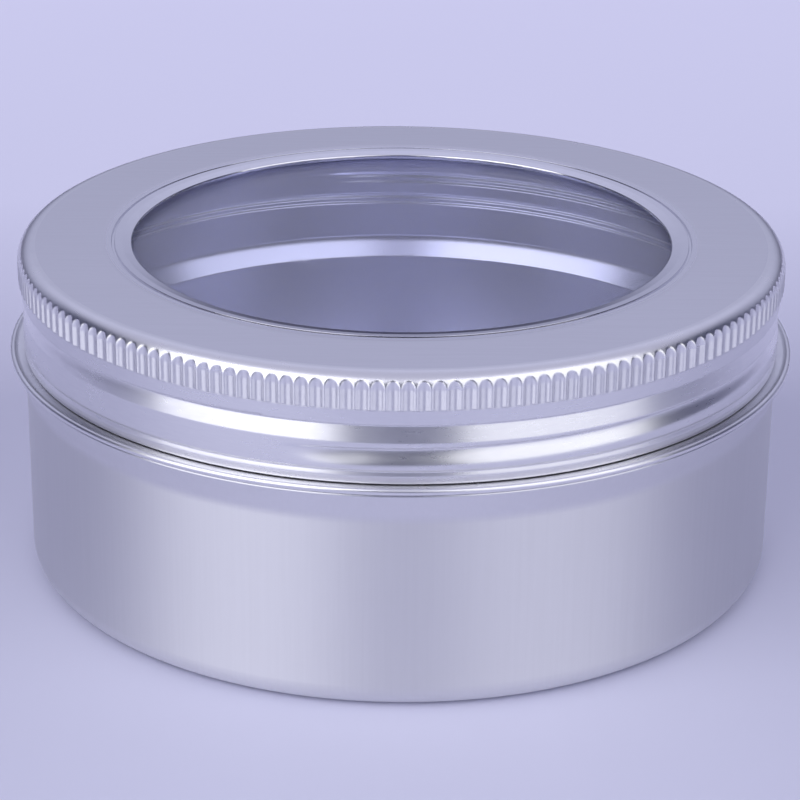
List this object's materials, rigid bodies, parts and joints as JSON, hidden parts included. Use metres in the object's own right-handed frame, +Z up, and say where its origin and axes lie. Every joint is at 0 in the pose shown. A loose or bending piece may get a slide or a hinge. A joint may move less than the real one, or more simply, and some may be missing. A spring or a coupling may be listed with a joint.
{
  "type": "window lid tin",
  "caption": "Low round aluminium tin with a knurled screw lid, a clear window in the lid and a ring seal under it.",
  "frame": {"origin": "on the tin's axis, in the plane of the foot ring that it stands on", "axes": "+Z up along the axis, from the foot to the lid; the lid's rolled thread starts a little to the -X side of -Y, the side that faces the viewer"},
  "size_m": [0.0854, 0.0854, 0.0363],
  "materials": {
    "can_aluminium": "drawn, satin wall with a polished bead",
    "lid_aluminium": "satin top with polished knurled edge",
    "window_clear": "clear plastic, glossy",
    "seal_foam": "matt closed-cell foam"
  },
  "bodies": {
    "can": {"can_body": "can_aluminium"},
    "seal": {"seal_liner": "seal_foam"},
    "lid": {"lid_shell": "lid_aluminium", "window_pane": "window_clear"}
  },
  "joints": [
    {"name": "lid_lift", "type": "slide", "parent": "can", "child": "seal", "axis": [0, 0, 1], "range_m": [0, 0.0108]},
    {"name": "lid_turn", "type": "hinge", "parent": "seal", "child": "lid", "pos_m": [0, 0, 0.0359], "axis": [0, 0, 1], "range_deg": [0, 1440]}
  ],
  "couplings": [
    {"joint": "lid_lift", "follows": "lid_turn", "m_per_rad": 0.00042971}
  ]
}
